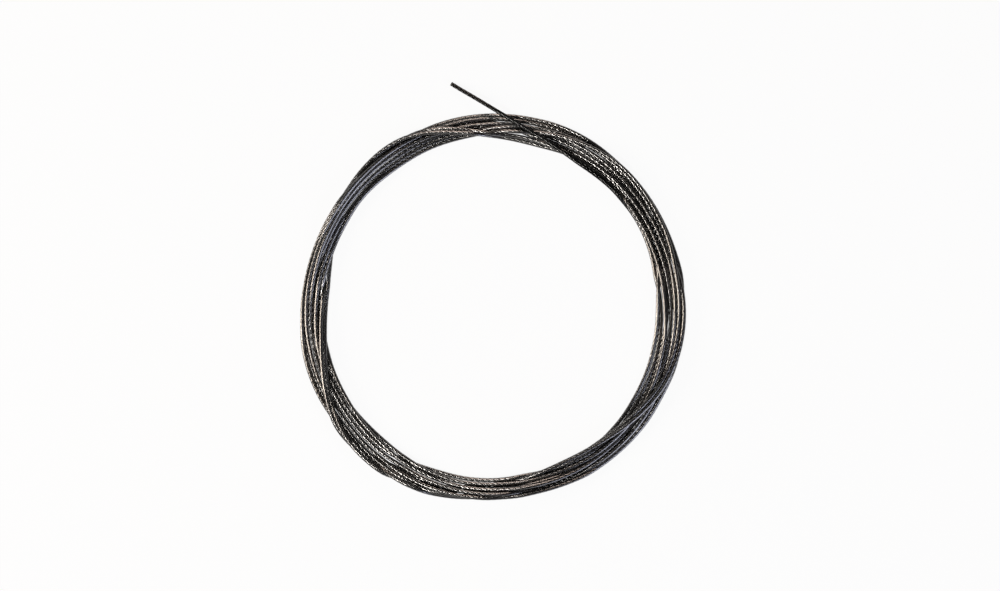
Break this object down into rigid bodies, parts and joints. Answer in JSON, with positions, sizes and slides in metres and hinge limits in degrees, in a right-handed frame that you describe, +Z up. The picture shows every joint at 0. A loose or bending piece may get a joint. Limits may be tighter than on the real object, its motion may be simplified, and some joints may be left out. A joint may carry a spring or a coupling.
{
  "type": "shift cable",
  "caption": "Stranded steel shift cable wound into a loose flat round coil, with one cut end crossing over the turns and standing out past them.",
  "frame": {"origin": "middle of the whole cable's footprint, on the surface that it lies on", "axes": "+Z up out of the coil's flat side, +Y towards the side where the cut end stands out, +X to the right of that"},
  "size_m": [0.1052, 0.1136, 0.0036],
  "materials": {
    "cable_steel": "drawn bare steel wires, stranded, with a bright sheen along each wire"
  },
  "bodies": {
    "root": {"coiled_turns": "cable_steel", "free_end": "cable_steel"}
  },
  "joints": []
}
